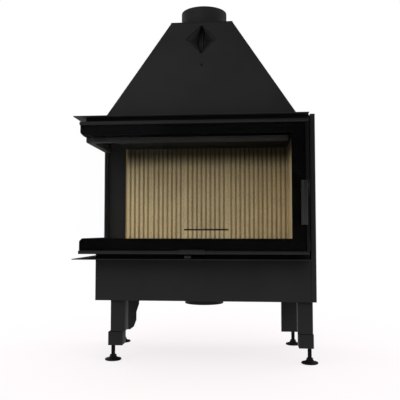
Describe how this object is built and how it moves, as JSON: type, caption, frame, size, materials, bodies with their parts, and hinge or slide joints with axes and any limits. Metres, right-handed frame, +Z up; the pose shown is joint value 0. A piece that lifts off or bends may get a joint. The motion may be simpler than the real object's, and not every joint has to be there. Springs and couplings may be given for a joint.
{
  "type": "corner fireplace insert",
  "caption": "Wood burning fireplace insert with an L-shaped corner glass door, a pyramid hood with flue collar, build-in flanges and levelling feet.",
  "frame": {"origin": "centre of the whole box in plan, on the floor under the levelling feet", "axes": "+Z up; the front pane and the handle face -Y; +X to the right when facing the door, with the side pane on the left (-X)"},
  "size_m": [0.8734, 0.5194, 1.343],
  "materials": {
    "casing_paint": "heat-resistant matt black paint",
    "firebox_steel": "matt black heat-resistant paint, inside",
    "fireboard": "pressed vermiculite board, fluted, matt beige",
    "hearth_brick": "pressed vermiculite, plain, matt beige",
    "cast_iron": "as cast, dark grey",
    "door_paint": "dark grey satin paint",
    "glass": "clear ceramic glass with a black printed border",
    "rope_seal": "braided glass-fibre rope, dark",
    "black_steel": "black coated steel"
  },
  "bodies": {
    "casing": {"casing_front": "casing_paint", "casing_left": "casing_paint", "casing_right": "casing_paint", "casing_back": "casing_paint", "casing_bottom": "casing_paint", "bottom_flange": "casing_paint", "top_flange": "casing_paint", "hood_front": "casing_paint", "hood_right": "casing_paint", "hood_back": "casing_paint", "hood_left": "casing_paint", "hood_top": "casing_paint", "flue_collar": "casing_paint", "flue_pipe": "casing_paint", "leg_front_left": "casing_paint", "leg_front_right": "casing_paint", "leg_rear_left": "casing_paint", "leg_rear_right": "casing_paint", "sleeve_front_left": "casing_paint", "sleeve_front_right": "casing_paint", "rear_column": "firebox_steel", "plinth_wall": "firebox_steel", "frame_bottom": "firebox_steel", "frame_top": "firebox_steel", "frame_right": "firebox_steel", "firebox_floor": "firebox_steel", "firebox_shell": "firebox_steel", "firebox_top": "firebox_steel", "air_wash_duct": "firebox_steel", "baffle": "firebox_steel", "ash_pan": "firebox_steel", "hinge_bracket_lower": "firebox_steel", "hinge_bracket_upper": "firebox_steel", "latch_keeper": "firebox_steel", "lining_outer_left": "fireboard", "lining_inner_left": "fireboard", "lining_centre_lower": "fireboard", "lining_centre_upper": "fireboard", "lining_inner_right": "fireboard", "lining_outer_right": "fireboard", "lining_right": "fireboard", "hearth_bricks": "hearth_brick", "air_spigot": "black_steel"},
    "door": {"door_bottom_rail": "door_paint", "door_top_rail": "door_paint", "door_right_stile": "door_paint", "door_hinge_stile": "door_paint", "door_pull": "door_paint", "handle_boss": "door_paint", "glass_front": "glass", "glass_side": "glass", "door_seal": "rope_seal"},
    "handle": {"handle_lever": "door_paint", "latch_cam": "firebox_steel"},
    "air_control": {"air_lever": "door_paint"},
    "grate": {"grate": "cast_iron"},
    "foot_front_left": {"foot_front_left": "black_steel"},
    "foot_front_right": {"foot_front_right": "black_steel"},
    "foot_rear_left": {"foot_rear_left": "black_steel"},
    "foot_rear_right": {"foot_rear_right": "black_steel"}
  },
  "joints": [
    {"name": "door_swing", "type": "hinge", "parent": "casing", "child": "door", "pos_m": [-0.41865, 0.2057, 0.6275], "axis": [0, 0, -1], "range_deg": [0, 95]},
    {"name": "handle_turn", "type": "hinge", "parent": "door", "child": "handle", "pos_m": [0.38935, -0.2393, 0.625], "axis": [0, 1, 0], "range_deg": [0, 75]},
    {"name": "air_lever_slide", "type": "slide", "parent": "casing", "child": "air_control", "axis": [1, 0, 0], "range_m": [-0.02, 0.05]},
    {"name": "grate_lift", "type": "slide", "parent": "casing", "child": "grate", "axis": [0, 0, 1], "range_m": [0, 0.05]},
    {"name": "foot_front_left_level", "type": "slide", "parent": "casing", "child": "foot_front_left", "axis": [0, 0, 1], "range_m": [-0.012, 0.018]},
    {"name": "foot_front_right_level", "type": "slide", "parent": "casing", "child": "foot_front_right", "axis": [0, 0, 1], "range_m": [-0.012, 0.018]},
    {"name": "foot_rear_left_level", "type": "slide", "parent": "casing", "child": "foot_rear_left", "axis": [0, 0, 1], "range_m": [-0.012, 0.018]},
    {"name": "foot_rear_right_level", "type": "slide", "parent": "casing", "child": "foot_rear_right", "axis": [0, 0, 1], "range_m": [-0.012, 0.018]}
  ]
}
